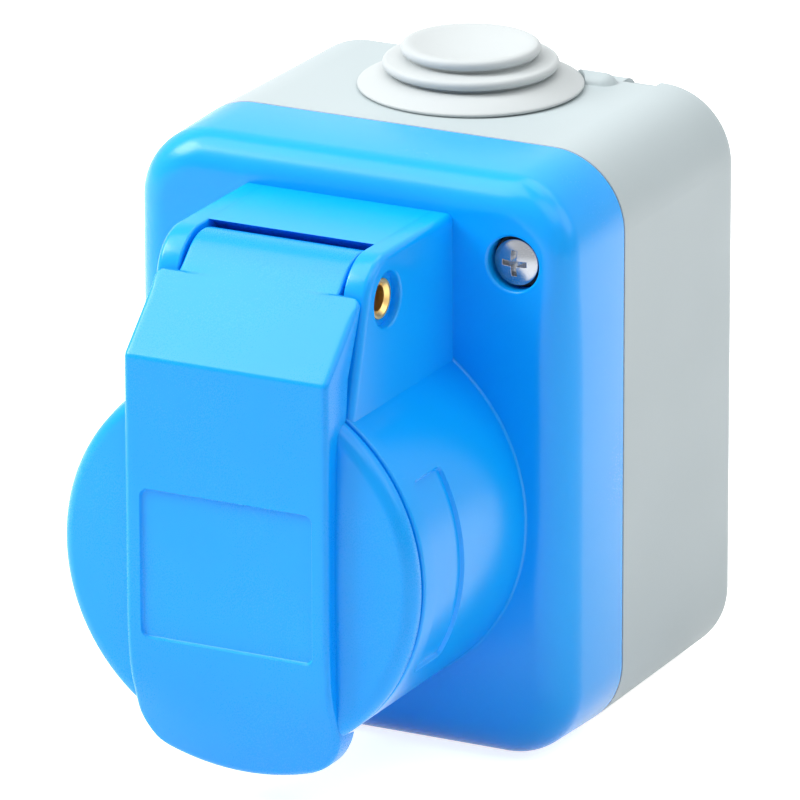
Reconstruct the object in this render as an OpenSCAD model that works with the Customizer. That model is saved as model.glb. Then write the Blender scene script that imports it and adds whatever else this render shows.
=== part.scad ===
// Surface-mounted industrial wall socket: a grey wall box with a cable grommet, a blue front
// cover with a round socket collar and a hinge block, and a sprung lid with a broad strap.
// Millimetres, +Z up. The wall face lies on y = 0 and the socket faces -Y.
// The letter f in a name means a distance forward of the wall face.

/* [Wall box] */
// Width of box and cover at their joint
box_w = 75; // [73:0.5:82]
// Height of box and cover at their joint
box_h = 93; // [91:0.5:104]
// Depth of the box from wall face to joint
box_d = 40.5; // [38:0.5:50]
// Corner radius seen from the front
corner_r = 12; // [11.6:0.1:13]
// Thickness of the side walls and of the back
wall = 2.6; // [2.2:0.1:3]
// Rounding of the edge that meets the wall
back_edge_r = 3; // [1:0.1:3.4]
// Width of the seal groove in the rim
seal_w = 1.2; // [0.8:0.1:1.4]
// Depth of the seal groove in the rim
seal_d = 1.4; // [0.8:0.1:2]
// Half the distance between the two wall screws
fixing_z = 32; // [28:0.5:34]
// Radius of the wall screw holes
fixing_r = 3; // [2.4:0.1:3.4]

/* [Box top] */
// Distance of the grommet's middle from the wall
grommet_f = 17.7; // [17.6:0.1:19]
// Radius of the grommet's domed skirt
grommet_skirt_r = 17.5; // [16.5:0.1:17.6]
// Radius of the grommet's middle step
grommet_step_r = 13.6; // [13:0.1:14.2]
// Radius of the grommet's top ring
grommet_top_r = 10.8; // [10.2:0.1:11.6]
// Height of the top ring above the box
grommet_h = 6.9; // [6.4:0.1:8]
// Radius of the hole the grommet sits in
entry_r = 9.6; // [8.8:0.1:10]
// Radius of the half-round bead behind the grommet
bead_r = 2.4; // [1.8:0.1:2.8]
// Length of the bead to the right of the middle
bead_l = 17.2; // [14:0.2:18]
// Width of the notch in the top rear edge
notch_w = 5.4; // [3:0.2:7]
// Depth of the notch in the top rear edge
notch_d = 4.6; // [3:0.2:6]

/* [Front cover] */
// Depth of the cover from joint to front face
cover_d = 18.6; // [16.5:0.1:22]
// Rounding between sides and front face
edge_r = 5.7; // [5:0.1:5.8]
// Inward lean of the sides of box and cover
draft = 0.35; // [0.1:0.05:0.5]
// Outer radius of the socket collar
collar_r = 30; // [29.5:0.1:30.8]
// Length of the collar in front of the face
collar_l = 33.3; // [31:0.1:37]
// Height of the collar's axis above the box's middle
collar_z = -7.25; // [-8.5:0.25:-6]
// Inner radius of the socket sleeve
sleeve_r = 22.8; // [22.4:0.1:23.2]
// Width of the keyway at the bottom of the sleeve
key_w = 5.4; // [4:0.1:6.5]
// Depth of the bare marking recess on the collar
mark_d = 0.5; // [0.3:0.1:0.8]

/* [Hinge] */
// Width of the hinge block over both ears
block_w = 35.6; // [34.6:0.1:37]
// Width of the gap between the ears
slot_w = 27.6; // [26.4:0.1:28.4]
// Radius of the rounded nose of an ear
nose_r = 7.4; // [7.3:0.1:7.7]
// Radius of the pocket behind the lid's barrel
pocket_r = 7.85; // [7.6:0.05:8.1]
// Outer radius of the tubular hinge pin
pin_r = 3.1; // [2.8:0.05:3.3]
// Hole radius of the tubular hinge pin
pin_hole_r = 2; // [1.6:0.05:2.2]
// Running clearance between pin and barrel
pin_gap = 0.05; // [0.02:0.01:0.09]
// Depth of the pin's ends below the ear faces
pin_sink = 1.1; // [0.6:0.1:1.6]

/* [Lid] */
// Gap between collar rim and closed lid
lid_gap = 0.3; // [0.2:0.05:0.6]
// Thickness of the lid disc at its edge
lid_t = 3.2; // [3:0.1:4]
// Rounding of the lid's front edge
lid_edge_r = 2.4; // [1.4:0.1:2.6]
// Height of the shallow cone on the lid's front
crown_h = 1.8; // [0.8:0.1:2]
// Radius of the lid disc
lid_r = 29.7; // [29.2:0.1:30]
// Width of the strap across the lid
strap_w = 34.2; // [33:0.1:34.4]
// Height of the strap's face above the lid's edge
strap_h = 3.1; // [2.6:0.1:3.8]
// Radius of the finger tab's bowed lower edge
tab_bow_r = 39; // [34:1:60]
// Outer radius of the hinge barrel
barrel_r = 6.7; // [6.4:0.05:6.75]
// Side clearance between barrel and each ear
barrel_side_gap = 0.45; // [0.3:0.05:0.8]
// Depth of the bare label recess on the strap
label_d = 0.4; // [0.2:0.1:0.8]

/* [Contacts] */
// Distance of each contact from the collar's axis
pitch_r = 9.5; // [9.2:0.1:10.4]
// Bore radius of the live and neutral sleeves
line_bore_r = 2.55; // [2.4:0.05:2.7]
// Bore radius of the earth sleeve
earth_bore_r = 3.55; // [3.3:0.05:3.7]
// Radius of the carrier's round front
carrier_r = 18.3; // [17.8:0.1:18.8]

/* [Output] */
// Which piece is shown

/* [Hidden] */
$fn = 72;
over = 1;
top_z = box_h / 2;
face_f = box_d + cover_d;
plate_f = face_f - wall;
rim_f = face_f + collar_l;

// Cover screws, on one diagonal
screw_in_x = 9.7;
screw_in_z = 13;
screw_x = box_w / 2 - screw_in_x;
screw_z = box_h / 2 - screw_in_z;
screw_r = 1.9;
screw_gap = 0.3;
head_r = 3.6;
head_h = 2.2;
head_sink = 0.3;
seal_ring_r = 4.1;
seal_ring_t = 0.8;
counterbore_r = 4.3;
seat_f = face_f - head_sink - head_h - seal_ring_t;
tower_r = 6.2;
post_r = 5;
insert_r = 2.9;
insert_l = 9;
insert_bore_r = 1.95;
screw_bite = 8;
screw_end_f = box_d - screw_bite;
cross_l = 4;
cross_w = 0.9;
cross_d = 1.3;

// Grommet
grommet_floor_z = top_z - wall;
grommet_foot_r = 12;
grommet_foot_t = 1.5;
skirt_h = 2.3;
skirt_lip = 0.5;
step_z0 = 2.9;
step_z1 = 4.5;
neck_in = 1;
top_t = 1.7;
dish_rim = 1.4;
dish_r = grommet_top_r - dish_rim;
dish_h = 1.6;
dish_ball_r = (dish_r * dish_r + dish_h * dish_h) / (2 * dish_h);
hollow_r = 8;
roof_t = 1.4;
hollow_h = grommet_h - dish_h - roof_t;
bead_f = 6.6;
bead_sink = 1.2;
notch_x = 22.4;
notch_h = 1.6;

// Collar and sleeve
sleeve_wall = 2.4;
collar_wall = 2.4;
rim_t = 3.4;
boss_h = 5;
boss_r = 3;
flange_f = plate_f - boss_h;
key_d = 1.5;
key_pad = 1.6;
mark_a = 30;
mark_back = 12.8;
mark_front = 4;
mark_f0 = rim_f - mark_back;
mark_f1 = rim_f - mark_front;

// Hinge
hinge_back = 11.9;
hinge_rise = 40;
block_rise = 7.25;
foot_rise = 24;
hinge_f = rim_f - hinge_back;
hinge_z = collar_z + hinge_rise;
block_top_z = hinge_z + block_rise;
block_foot_f = rim_f;
block_foot_z = collar_z + foot_rise;
block_gap = 0.06;
recess_r = 4.3;
pin_l = block_w - 2 * pin_sink;
core_wall = 2.8;
core_f = hinge_f - pocket_r - core_wall;
core_z = collar_z + collar_r - over;

// Lid
lid_back_f = rim_f + lid_gap;
lid_edge_f = lid_back_f + lid_t;
lid_hollow_r = 22;
lid_wall = 2.2;
strap_f = lid_edge_f + strap_h;
crease_rise = 31.75;
crease_z = collar_z + crease_rise;
bow_r = 70;
bow_drop = 7.75;
bow_z = collar_z - bow_drop;
tab_drop = 32.95;
tab_z = collar_z - tab_drop;
tab_r = 7;
tab_bow_z = tab_z + tab_bow_r;
tab_corner_x = strap_w / 2 - tab_r;
tab_corner_l = tab_bow_r - tab_r;
tab_corner_z = tab_bow_z - sqrt(tab_corner_l * tab_corner_l - tab_corner_x * tab_corner_x);
tab_back = 2.2;
tab_f = rim_f - tab_back;
tab_gap = 0.6;
barrel_w = slot_w - 2 * barrel_side_gap;
shoulder_gap = 0.5;
strap_gap = 0.6;
arm_back = 10.5;
arm_foot_z = collar_z + collar_r + tab_gap;
crease_a = atan2(crease_z - hinge_z, strap_f - hinge_f);
crease_l = norm([strap_f - hinge_f, crease_z - hinge_z]);
slope_a = crease_a + acos(barrel_r / crease_l);
slope_f = hinge_f + barrel_r * cos(slope_a);
slope_z = hinge_z + barrel_r * sin(slope_a);
label_w = 28.8;
label_drop = 12.45;
label_rise = 11.1;
label_z0 = collar_z - label_drop;
label_z1 = collar_z + label_rise;
label_r = 1.2;
gasket_r0 = 24.2;
gasket_r1 = 27.8;
gasket_t = 1.4;
gasket_gap = 0.1;

// Spring around the hinge pin
wire_r = 0.45;
coil_r = 4.05;
coil_n = 15;
coil_pitch = 0.8;
coil_l = coil_pitch * (coil_n - 1);
leg_r = 0.4;
coil_pocket_r = 5;
coil_room = 2.6;
coil_pocket_w = coil_l + coil_room;
leg_slot = 1.15;
leg_l = 8;

// Carrier and contacts
carrier_back = 3.9;
carrier_f = rim_f - carrier_back;
carrier_wall = 2.7;
flange_t = 3.6;
flange_r = 27;
flange_back_f = flange_f - flange_t;
lug_in = 3.8;
lug_x = box_w / 2 - wall - lug_in;
lug_w = 7;
carrier_screw_r = 1.4;
carrier_head_r = 2.6;
carrier_head_h = 1.8;
mouth_t = 3;
mouth_gap = 0.35;
sleeve_t = 1;
fit_gap = 0.1;
sleeve_l = 30;
sleeve_f = carrier_f - mouth_t;
slit_w = 0.6;
slit_l = 14;
ring_l = 5;
ring_t = 0.6;
ring_back = 9;
ring_f = sleeve_f - ring_back;
terminal_w = 9;
terminal_gap = 0.2;
terminal_l = 10;
terminal_back = 1.4;
terminal_f = flange_back_f - terminal_back;
holder_r = 20;
holder_l = 14;
holder_f = flange_back_f - holder_l;
wire_hole_r = 2;
terminal_screw_r = 1.5;
terminal_head_r = 2.5;
terminal_head_h = 1.8;
live_a = 150;
neutral_a = 30;
earth_a = 270;

// Lays a flat outline in the plane of the front face and pushes it forward
module forward(f0, f1) {
    translate([0, -f0, 0])
        rotate([90, 0, 0])
            linear_extrude(f1 - f0)
                children();
}

// Runs a side outline, drawn as forward distance and height, across the object
module across(w) {
    rotate([90, 0, -90])
        linear_extrude(w, center = true)
            children();
}

// Turns a half outline, drawn as radius and forward distance, about the collar's axis
module about_collar() {
    translate([0, 0, collar_z])
        rotate([90, 0, 0])
            rotate_extrude()
                children();
}

// A round bar along the forward direction
module rod(f0, f1, r) {
    translate([0, -f0, 0])
        rotate([90, 0, 0])
            cylinder(h = f1 - f0, r = r);
}

// Places a piece at one of the two cover screws
module at_screws() {
    for (s = [1, -1])
        translate([s * screw_x, 0, s * screw_z])
            children();
}

// Places a piece at a contact
module at_contact(a) {
    translate([pitch_r * cos(a), 0, collar_z + pitch_r * sin(a)])
        children();
}

module round_rect(w, h, r) {
    square([w - 2 * r, h], center = true);
    square([w, h - 2 * r], center = true);
    for (x = [-1, 1], y = [-1, 1])
        translate([x * (w / 2 - r), y * (h / 2 - r)])
            circle(r);
}

// Half section of a leaning wall whose far edge is rounded
module soft_section(r, d, e) {
    lean = atan2(draft, d - e);
    mid = r - draft - e / cos(lean);
    polygon([[0, 0], [r, 0], [mid + e * cos(lean), d - e + e * sin(lean)], [mid, d], [0, d]]);
    translate([mid, d - e])
        circle(e);
}

// A block with round corners and one rounded rim, built from true arcs
module soft_block(w, h, r, d, e) {
    for (m = [0, 1])
        mirror([m, 0, 0])
            translate([w / 2 - r, h / 2 - r, 0])
                rotate([90, 0, 0])
                    linear_extrude(h - 2 * r)
                        soft_section(r, d, e);
    for (m = [0, 1])
        mirror([0, m, 0])
            translate([-(w / 2 - r), h / 2 - r, 0])
                rotate([90, 0, 90])
                    linear_extrude(w - 2 * r)
                        soft_section(r, d, e);
    for (m = [0, 1], n = [0, 1])
        mirror([m, 0, 0])
            mirror([0, n, 0])
                translate([w / 2 - r, h / 2 - r, 0])
                    rotate_extrude(angle = 90)
                        soft_section(r, d, e);
    translate([-(w / 2 - r), -(h / 2 - r), 0])
        cube([w - 2 * r, h - 2 * r, d]);
}

module seal_ring_outline() {
    in_edge = (wall - seal_w) / 2;
    difference() {
        round_rect(box_w - 2 * in_edge, box_h - 2 * in_edge, corner_r - in_edge);
        round_rect(box_w - 2 * (in_edge + seal_w), box_h - 2 * (in_edge + seal_w),
            corner_r - in_edge - seal_w);
    }
}

// Grey box on the wall
module back_box() {
    color("gainsboro")
        difference() {
            union() {
                difference() {
                    translate([0, -box_d, 0])
                        rotate([-90, 0, 0])
                            soft_block(box_w, box_h, corner_r, box_d, back_edge_r);
                    box_cavity();
                }
                at_screws()
                    rod(wall - over, box_d, post_r);
                for (s = [1, -1])
                    translate([s * (box_w / 2 - wall / 2 - (box_w / 2 - screw_x) / 2), -box_d / 2,
                        s * screw_z])
                        cube([box_w / 2 - screw_x - wall, box_d - 2 * wall, wall / 2], center = true);
                difference() {
                    bead();
                    translate([0, -grommet_f, top_z])
                        cylinder(h = 2 * bead_r, r = grommet_skirt_r + fit_gap);
                    box_cavity();
                }
            }
            forward(box_d - seal_d, box_d + over)
                seal_ring_outline();
            at_screws()
                rod(box_d - insert_l, box_d + over, insert_r);
            translate([0, -grommet_f, grommet_floor_z - over])
                cylinder(h = wall + 2 * over, r = entry_r);
            translate([notch_x - notch_w / 2, -notch_d, top_z - notch_h])
                cube([notch_w, notch_d + over, notch_h + over]);
            for (s = [1, -1])
                translate([0, 0, s * fixing_z])
                    rod(-over, wall + over, fixing_r);
        }
}

// Room inside the box, open to the front
module box_cavity() {
    forward(wall, box_d + over)
        round_rect(box_w - 2 * wall, box_h - 2 * wall, corner_r - wall);
}

// Half-round bead along the top rear edge, with a round end
module bead() {
    translate([0, -bead_f, top_z - bead_sink]) {
        rotate([0, 90, 0])
            cylinder(h = bead_l, r = bead_r);
        translate([bead_l, 0, 0])
            sphere(bead_r);
    }
}

// Stepped elastic cable grommet in the box top
module cable_grommet() {
    color("whitesmoke")
        translate([0, -grommet_f, top_z])
            rotate_extrude()
                difference() {
                    union() {
                        skirt_section();
                        square([grommet_step_r - neck_in, step_z1 - neck_in / 2]);
                        ring_section(grommet_step_r, step_z0, step_z1);
                        square([grommet_top_r - neck_in, grommet_h - neck_in]);
                        ring_section(grommet_top_r, grommet_h - top_t, grommet_h);
                        translate([0, -wall])
                            square([entry_r - fit_gap, wall]);
                        translate([0, -wall - grommet_foot_t])
                            square([grommet_foot_r, grommet_foot_t]);
                    }
                    translate([0, grommet_h - dish_h + dish_ball_r])
                        circle(dish_ball_r, $fn = 180);
                    translate([0, -wall - grommet_foot_t - over])
                        square([hollow_r, wall + grommet_foot_t + hollow_h + over]);
                }
}

// Low domed skirt of the grommet
module skirt_section() {
    run = grommet_skirt_r - grommet_step_r + neck_in;
    rise = skirt_h - skirt_lip;
    dome_r = (run * run + rise * rise) / (2 * rise);
    intersection() {
        square([grommet_skirt_r, skirt_h + over]);
        translate([grommet_step_r - neck_in, skirt_h - dome_r])
            circle(dome_r, $fn = 180);
    }
}

// A disc of the grommet with a round rim
module ring_section(r, z0, z1) {
    round_r = (z1 - z0) / 2;
    translate([0, z0])
        square([r - round_r, z1 - z0]);
    translate([r - round_r, z0 + round_r])
        circle(round_r);
}

// Elastic seal between box and cover
module cover_gasket() {
    color("dimgray")
        forward(box_d - seal_d, box_d)
            seal_ring_outline();
}

// Brass thread inserts in the box posts
module thread_inserts() {
    color("goldenrod")
        at_screws()
            difference() {
                rod(box_d - insert_l, box_d, insert_r);
                rod(box_d - insert_l - over, box_d + over, insert_bore_r);
            }
}

// Front plate of the blue cover, with most of its rounded edge
module front_cover() {
    color("dodgerblue")
        difference() {
            cover_block();
            forward(box_d - over, plate_f)
                square([box_w + 2 * over, box_h + 2 * over], center = true);
            translate([0, 0, collar_z])
                rod(plate_f - over, face_f + over, collar_r - collar_wall);
            block_hollow();
            screw_ways();
        }
}

// Side walls of the cover, between the box and the front plate
module cover_skirt() {
    color("dodgerblue")
        difference() {
            cover_block();
            forward(plate_f, face_f + over)
                square([box_w + 2 * over, box_h + 2 * over], center = true);
            forward(box_d - over, plate_f + over)
                round_rect(box_w - 2 * wall, box_h - 2 * wall, corner_r - wall);
        }
}

// Posts behind the front plate: two for the cover screws and two for the carrier
module cover_posts() {
    color("dodgerblue") {
        difference() {
            at_screws()
                rod(box_d, plate_f, tower_r);
            screw_ways();
        }
        for (s = [-1, 1])
            translate([s * lug_x, 0, collar_z])
                difference() {
                    rod(flange_f, plate_f, boss_r);
                    rod(flange_f - over, plate_f, carrier_screw_r);
                }
    }
}

// The cover's outer form, solid
module cover_block() {
    translate([0, -box_d, 0])
        rotate([90, 0, 0])
            soft_block(box_w, box_h, corner_r, cover_d, edge_r);
}

// Holes and head seats of the cover screws
module screw_ways() {
    at_screws() {
        rod(box_d - over, face_f, screw_r + screw_gap);
        rod(seat_f, face_f + over, counterbore_r);
    }
}

// Round collar on the cover, with an inner sleeve that takes the plug
module socket_collar() {
    color("dodgerblue")
        difference() {
            union() {
                difference() {
                    about_collar()
                        translate([0, face_f])
                            square([collar_r, collar_l]);
                    collar_hollow();
                }
                sleeve();
            }
            keyway();
            marking_recess();
        }
}

// Block above the collar that carries the hinge
module hinge_block() {
    color("dodgerblue")
        difference() {
            block_body();
            across(block_w + 2 * over)
                translate([hinge_f - nose_r, block_top_z])
                    square([2 * nose_r, nose_r]);
            block_hollow();
            hinge_slot();
            translate([0, 0, collar_z])
                rod(face_f - over, rim_f + over, collar_r + block_gap);
            across(block_w + 2 * over)
                translate([hinge_f, hinge_z])
                    circle(pin_r);
            for (s = [-1, 1])
                translate([s * (block_w / 2 - pin_sink / 2 + over / 2), 0, 0])
                    across(pin_sink + over)
                        translate([hinge_f, hinge_z])
                            circle(recess_r);
        }
}

// Core of the collar, open towards the box, which leaves a double wall
module collar_hollow() {
    about_collar()
        translate([0, plate_f - over])
            square([collar_r - collar_wall, rim_f - rim_t - plate_f + over]);
    about_collar()
        translate([0, rim_f - rim_t - over])
            square([sleeve_r, rim_t + 2 * over]);
}

// Inner sleeve that guides the plug, with a thicker wall at the keyway
module sleeve() {
    difference() {
        union() {
            about_collar()
                translate([0, flange_f])
                    square([sleeve_r + sleeve_wall, rim_f - rim_t / 2 - flange_f]);
            translate([-key_w / 2 - key_pad, -(rim_f - rim_t / 2), collar_z - sleeve_r - key_d - key_pad])
                cube([key_w + 2 * key_pad, rim_f - rim_t / 2 - flange_f, sleeve_wall]);
        }
        about_collar()
            translate([0, flange_f - over])
                square([sleeve_r, rim_f - flange_f + 2 * over]);
    }
}

// Groove for the plug's key, open to the front
module keyway() {
    translate([-key_w / 2, -rim_f - over, collar_z - sleeve_r - key_d])
        cube([key_w, rim_f - flange_f + 2 * over, sleeve_r]);
}

// Outer shape of the hinge block
module block_body() {
    across(block_w)
        polygon([[face_f, collar_z], [face_f, block_top_z], [hinge_f, block_top_z],
            [hinge_f + nose_r, hinge_z], [block_foot_f, block_foot_z], [block_foot_f, collar_z]]);
    across(block_w)
        translate([hinge_f, hinge_z])
            circle(nose_r);
}

// Hollow core of the hinge block, open towards the box
module block_hollow() {
    across(block_w - 2 * core_wall)
        translate([plate_f - over, core_z])
            square([core_f - plate_f + over, block_top_z - core_wall - core_z]);
}

// Round pocket for the lid's barrel, open to the front
module hinge_slot() {
    across(slot_w) {
        translate([hinge_f, hinge_z])
            circle(pocket_r);
        translate([hinge_f, hinge_z - pocket_r])
            square([rim_f - hinge_f + over, 3 * pocket_r]);
    }
}

// Bare sunk panel on the collar's right side
module marking_recess() {
    translate([0, 0, collar_z])
        rotate([90, 0, 0])
            rotate([0, 0, -mark_a])
                rotate_extrude(angle = 2 * mark_a)
                    translate([collar_r - mark_d, mark_f0])
                        square([mark_d + over, mark_f1 - mark_f0]);
}

// Cross-recess pan-head screws that hold the cover
module cover_screws() {
    color("silver")
        at_screws()
            difference() {
                union() {
                    rod(screw_end_f, seat_f + seal_ring_t + over / 2, screw_r);
                    rotate([90, 0, 0])
                        rotate_extrude()
                            intersection() {
                                translate([0, face_f - head_sink - head_h])
                                    square([head_r, head_h]);
                                translate([0, face_f - head_sink - 2 * head_r])
                                    circle(2 * head_r);
                            }
                }
                for (a = [0, 90])
                    translate([0, -(face_f - head_sink), 0])
                        rotate([0, a, 0])
                            cube([cross_l, 2 * cross_d, cross_w], center = true);
            }
}

// Dark sealing rings under the screw heads
module screw_seals() {
    color("black")
        at_screws()
            difference() {
                rod(seat_f, seat_f + seal_ring_t, seal_ring_r);
                rod(seat_f - over, seat_f + seal_ring_t + over, screw_r);
            }
}

// Blue lid with barrel, strap and finger tab
module lid() {
    color("deepskyblue")
        difference() {
            union() {
                lid_disc();
                strap();
                arm();
            }
            about_collar()
                translate([gasket_r0, lid_back_f - over])
                    square([gasket_r1 - gasket_r0, gasket_t + over]);
            about_collar()
                translate([0, lid_back_f - over])
                    square([lid_hollow_r, lid_t - lid_wall + over]);
            across(barrel_w + 2 * over)
                translate([hinge_f, hinge_z])
                    circle(pin_r + pin_gap);
            spring_space();
            forward(strap_f - label_d, strap_f + over)
                translate([0, (label_z0 + label_z1) / 2])
                    round_rect(label_w, label_z1 - label_z0, label_r);
        }
}

// Round plate of the lid with a shallow cone in front
module lid_disc() {
    about_collar() {
        polygon([[0, lid_back_f], [lid_r, lid_back_f], [lid_r, lid_edge_f - lid_edge_r],
            [lid_r - lid_edge_r, lid_edge_f], [0, lid_edge_f + crown_h]]);
        intersection() {
            translate([lid_r - lid_edge_r, lid_edge_f - lid_edge_r])
                circle(lid_edge_r);
            translate([0, lid_back_f])
                square([lid_r, lid_t]);
        }
    }
}

// Raised band down the lid, ending in a finger tab below the rim
module strap() {
    difference() {
        intersection() {
            across(strap_w)
                intersection() {
                    polygon([[tab_f, tab_z - over], [strap_f, tab_z - over], [strap_f, crease_z],
                        [lid_edge_f - lid_wall, crease_z], [lid_edge_f - lid_wall, collar_z],
                        [tab_f, collar_z]]);
                    union() {
                        translate([strap_f - bow_r, bow_z])
                            circle(bow_r, $fn = 180);
                        translate([tab_f - over, bow_z])
                            square([strap_f - tab_f + 2 * over, crease_z - bow_z + over]);
                    }
                }
            forward(tab_f - over, strap_f + over)
                tab_outline();
        }
        about_collar()
            translate([0, tab_f - over])
                square([collar_r + tab_gap, lid_back_f - tab_f + over]);
    }
}

// Outline of the strap seen from the front
module tab_outline() {
    translate([-strap_w / 2, tab_corner_z])
        square([strap_w, crease_z - tab_corner_z]);
    for (s = [-1, 1])
        translate([s * tab_corner_x, tab_corner_z])
            circle(tab_r);
    translate([0, tab_bow_z])
        intersection() {
            circle(tab_bow_r, $fn = 180);
            polygon([[0, 0], [-2 * tab_corner_x, 2 * (tab_corner_z - tab_bow_z)],
                [2 * tab_corner_x, 2 * (tab_corner_z - tab_bow_z)]]);
        }
}

// Sloping upper end of the strap and the barrel between the ears
module arm() {
    difference() {
        across(strap_w)
            polygon([[slope_f, slope_z], [strap_f, crease_z], [strap_f, collar_z],
                [lid_edge_f - lid_wall, collar_z], [block_foot_f + strap_gap, block_foot_z],
                [hinge_f + nose_r + strap_gap, hinge_z]]);
        across(strap_w + 2 * over)
            translate([hinge_f, hinge_z])
                circle(nose_r + shoulder_gap);
        about_collar()
            translate([0, hinge_f])
                square([collar_r + tab_gap, lid_back_f - hinge_f]);
    }
    across(barrel_w) {
        translate([hinge_f, hinge_z])
            circle(barrel_r);
        polygon([[hinge_f, hinge_z], [slope_f, slope_z], [strap_f, crease_z],
            [rim_f + strap_gap, arm_foot_z], [hinge_f + arm_back, hinge_z - pocket_r + strap_gap],
            [hinge_f, hinge_z - barrel_r + strap_gap]]);
    }
}

// Room for the coil and its legs inside the barrel
module spring_space() {
    across(coil_pocket_w) {
        translate([hinge_f, hinge_z])
            circle(coil_pocket_r);
        translate([hinge_f - barrel_r - over, hinge_z - pocket_r - over])
            square([barrel_r + over + coil_r + leg_slot, pocket_r + over]);
    }
    translate([coil_l / 2, 0, 0])
        across(2 * leg_slot)
            translate([hinge_f, hinge_z])
                rotate(slope_a - 90)
                    translate([0, coil_r - leg_slot])
                        square([leg_l + leg_slot, 2 * leg_slot]);
}

// Elastic ring that seals the lid on the collar rim
module lid_gasket() {
    color("dimgray")
        about_collar()
            translate([gasket_r0, rim_f + gasket_gap])
                square([gasket_r1 - gasket_r0, lid_gap - gasket_gap + gasket_t]);
}

// Brass tube that the lid turns on
module hinge_pin() {
    color("gold")
        across(pin_l)
            translate([hinge_f, hinge_z])
                difference() {
                    circle(pin_r);
                    circle(pin_hole_r);
                }
}

// Coil spring that closes the lid
module lid_spring() {
    color("lightsteelblue") {
        translate([0, -hinge_f, hinge_z])
            rotate([0, 90, 0])
                rotate_extrude()
                    for (i = [0 : coil_n - 1])
                        translate([coil_r, i * coil_pitch - coil_l / 2])
                            circle(wire_r, $fn = 32);
        translate([-coil_l / 2, -(hinge_f + coil_r), hinge_z - pocket_r])
            cylinder(h = pocket_r, r = leg_r);
        translate([coil_l / 2, -hinge_f, hinge_z])
            rotate([90 - slope_a, 0, 0])
                translate([0, 0, coil_r])
                    rotate([90, 0, 0])
                        cylinder(h = leg_l, r = leg_r);
    }
}

// Dark insulating flange that holds the contacts
module contact_carrier() {
    color("darkslategray")
        difference() {
            forward(flange_back_f, flange_f)
                translate([0, collar_z]) {
                    circle(flange_r);
                    square([2 * lug_x, lug_w], center = true);
                    for (s = [-1, 1])
                        translate([s * lug_x, 0])
                            circle(lug_w / 2);
                }
            for (s = [-1, 1])
                translate([s * lug_x, 0, collar_z])
                    rod(flange_back_f - over, flange_f + over, carrier_screw_r + screw_gap);
            contact_holes(flange_back_f, flange_f, fit_gap);
        }
}

// Round insulating wall around the contacts
module carrier_shell() {
    color("darkslategray")
        about_collar()
            translate([carrier_r - carrier_wall, flange_f])
                square([carrier_wall, sleeve_f - flange_f]);
}

// Insulating face with the mouths for the plug's pins
module carrier_face() {
    color("darkslategray")
        difference() {
            translate([0, 0, collar_z])
                rod(sleeve_f, carrier_f, carrier_r);
            contact_holes(sleeve_f, carrier_f, mouth_gap);
        }
}

// Holes at the three contacts, wider than their bores by a gap
module contact_holes(f0, f1, gap) {
    for (a = [live_a, neutral_a])
        at_contact(a)
            rod(f0 - over, f1 + over, line_bore_r + gap);
    at_contact(earth_a)
        rod(f0 - over, f1 + over, earth_bore_r + gap);
}

// Screws that hold the carrier to the cover
module carrier_screws() {
    color("silver")
        for (s = [-1, 1])
            translate([s * lug_x, 0, collar_z]) {
                rod(flange_back_f - over / 2, plate_f - wall / 2, carrier_screw_r);
                rod(flange_back_f - carrier_head_h, flange_back_f, carrier_head_r);
            }
}

// Rear holder around the screw terminals
module terminal_carrier() {
    color("slategray")
        difference() {
            translate([0, 0, collar_z])
                rod(holder_f, flange_back_f, holder_r);
            for (a = [live_a, neutral_a, earth_a])
                at_contact(a) {
                    translate([0, -(holder_f + holder_l / 2), 0])
                        cube([terminal_w + 2 * terminal_gap, holder_l + 2 * over,
                            terminal_w + 2 * terminal_gap], center = true);
                }
            for (a = [live_a, neutral_a])
                at_contact(a)
                    wire_way(a == live_a ? -1 : 1);
            at_contact(earth_a)
                rotate([0, 90, 0])
                    wire_way(1);
        }
}

// Side hole through which a wire reaches its terminal
module wire_way(s) {
    translate([0, -(terminal_f - terminal_l / 2), 0])
        rotate([0, s * 90, 0])
            cylinder(h = holder_r, r = wire_hole_r + screw_gap);
}

// Clamping screws of the three terminals
module terminal_screws() {
    color("silver")
        for (a = [live_a, neutral_a, earth_a])
            at_contact(a) {
                rod(terminal_f - terminal_l - over / 2, terminal_f - terminal_l / 2 - wire_hole_r / 2,
                    terminal_screw_r);
                rod(terminal_f - terminal_l - terminal_head_h, terminal_f - terminal_l, terminal_head_r);
            }
}

// One contact: slit sleeve in front, solid stem, screw terminal behind
module contact(bore_r, s, turn) {
    difference() {
        union() {
            rod(sleeve_f - sleeve_l, sleeve_f, bore_r + sleeve_t);
            rod(terminal_f - over, sleeve_f - sleeve_l + over, bore_r);
            translate([0, -(terminal_f - terminal_l / 2), 0])
                cube([terminal_w, terminal_l, terminal_w], center = true);
        }
        rod(sleeve_f - sleeve_l + 2 * over, sleeve_f + over, bore_r);
        translate([-bore_r - 2 * sleeve_t, -sleeve_f - over, -slit_w / 2])
            cube([bore_r + 2 * sleeve_t, slit_l + over, slit_w]);
        rod(terminal_f - terminal_l - over, terminal_f - terminal_l / 2, terminal_screw_r);
        translate([0, -(terminal_f - terminal_l / 2), 0])
            rotate([0, turn, 0])
                rotate([0, s * 90, 0])
                    cylinder(h = terminal_w, r = wire_hole_r);
    }
}

module live_contact() {
    color("gold")
        at_contact(live_a)
            contact(line_bore_r, -1, 0);
}

module neutral_contact() {
    color("gold")
        at_contact(neutral_a)
            contact(line_bore_r, 1, 0);
}

module earth_contact() {
    color("gold")
        at_contact(earth_a)
            contact(earth_bore_r, 1, 90);
}

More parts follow.
